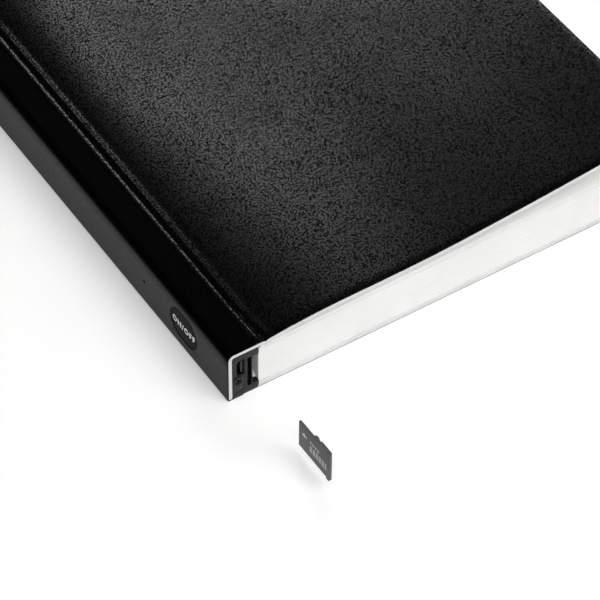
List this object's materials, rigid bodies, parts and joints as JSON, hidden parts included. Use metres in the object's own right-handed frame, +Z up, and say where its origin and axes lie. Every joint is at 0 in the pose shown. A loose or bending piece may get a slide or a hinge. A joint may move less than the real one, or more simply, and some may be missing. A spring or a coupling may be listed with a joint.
{
  "type": "notebook with built-in camera",
  "caption": "Soft-cover notebook with hinged covers, leaves and a camera module in its spine, with charging port, card slot and push button.",
  "frame": {"origin": "centre of the back cover's underside, on the surface that the notebook lies on", "axes": "+X from the spine to the fore edge, +Y from the tail, where the card slot is, to the head, +Z up through the front cover"},
  "size_m": [0.148, 0.2501, 0.0283],
  "materials": {
    "black_leather": "leather-look skin, fine grain, low sheen",
    "white_core": "white board core, bare at the cut edges",
    "paper": "uncoated writing paper",
    "binding_glue": "flexible binding glue",
    "black_plastic": "moulded black plastic, satin",
    "button_plastic": "smooth black plastic",
    "card_plastic": "dark grey moulded card",
    "dark_parts": "black component plastic",
    "steel": "bright pressed steel",
    "gold_contacts": "gold-plated contacts",
    "circuit_board": "green lacquered circuit board",
    "flex_film": "amber flexible circuit film",
    "battery_foil": "aluminium pouch foil",
    "foam_tape": "soft foam tape",
    "clear_glass": "clear lens glass",
    "lamp_plastic": "milky lamp plastic"
  },
  "bodies": {
    "spine_block": {"spine_skin": "black_leather", "spine_board": "white_core", "spine_foot_board": "white_core", "camera_housing": "black_plastic", "housing_lid": "black_plastic", "housing_screws": "steel", "housing_end_cap": "black_plastic", "main_circuit_board": "circuit_board", "charging_port_shell": "steel", "charging_port_tongue": "dark_parts", "reset_switch": "dark_parts", "indicator_light_pipe": "lamp_plastic", "indicator_lamp": "lamp_plastic", "card_socket_cover": "steel", "card_socket_stop": "dark_parts", "power_switch": "dark_parts", "switch_dome": "steel", "processor_chip": "dark_parts", "flash_chip": "dark_parts", "radio_module": "circuit_board", "radio_shield_can": "steel", "radio_aerial": "flex_film", "microphone": "dark_parts", "battery_cell": "battery_foil", "battery_tape": "foam_tape", "battery_lead": "flex_film", "pinhole_window": "clear_glass", "lens_barrel": "black_plastic", "lens_glass": "clear_glass", "lens_holder": "black_plastic", "image_sensor": "circuit_board", "camera_circuit_board": "circuit_board", "camera_cable": "flex_film", "page_binding": "binding_glue", "back_flyleaf": "paper", "page_section_1": "paper", "page_section_2": "paper", "page_section_3": "paper", "page_section_4": "paper", "page_section_5": "paper", "page_section_6": "paper", "page_section_7": "paper", "turning_section_stub": "paper"},
    "front_cover": {"front_cover_skin": "black_leather", "front_cover_board": "white_core", "front_cover_lining": "paper"},
    "front_leaves": {"turning_section": "paper", "front_flyleaf": "paper"},
    "back_cover": {"back_cover_skin": "black_leather", "back_cover_board": "white_core", "back_cover_lining": "paper"},
    "power_button": {"power_button": "button_plastic"},
    "reset_pin": {"reset_pin": "button_plastic"},
    "memory_card": {"memory_card": "card_plastic", "memory_card_contacts": "gold_contacts"}
  },
  "joints": [
    {"name": "front_cover_hinge", "type": "hinge", "parent": "spine_block", "child": "front_cover", "pos_m": [-0.0623, 0, 0.0186], "axis": [0, -1, 0], "range_deg": [0, 175]},
    {"name": "front_leaves_turn", "type": "hinge", "parent": "spine_block", "child": "front_leaves", "pos_m": [-0.0623, 0, 0.0186], "axis": [0, -1, 0], "range_deg": [0, 168]},
    {"name": "back_cover_hinge", "type": "hinge", "parent": "spine_block", "child": "back_cover", "pos_m": [-0.0623, 0, -0.0004], "axis": [0, -1, 0], "range_deg": [-175, 0]},
    {"name": "power_button_press", "type": "slide", "parent": "spine_block", "child": "power_button", "axis": [1, 0, 0], "range_m": [0, 0.0005], "stiffness_N_per_m": 400},
    {"name": "reset_pin_press", "type": "slide", "parent": "spine_block", "child": "reset_pin", "axis": [0, 1, 0], "range_m": [0, 0.00025], "stiffness_N_per_m": 400},
    {"name": "card_insert", "type": "slide", "parent": "spine_block", "child": "memory_card", "axis": [0, 1, 0], "range_m": [0, 0.0401]}
  ],
  "couplings": [
    {"joint": "front_leaves_turn", "follows": "front_cover_hinge", "ratio": 0.96}
  ]
}
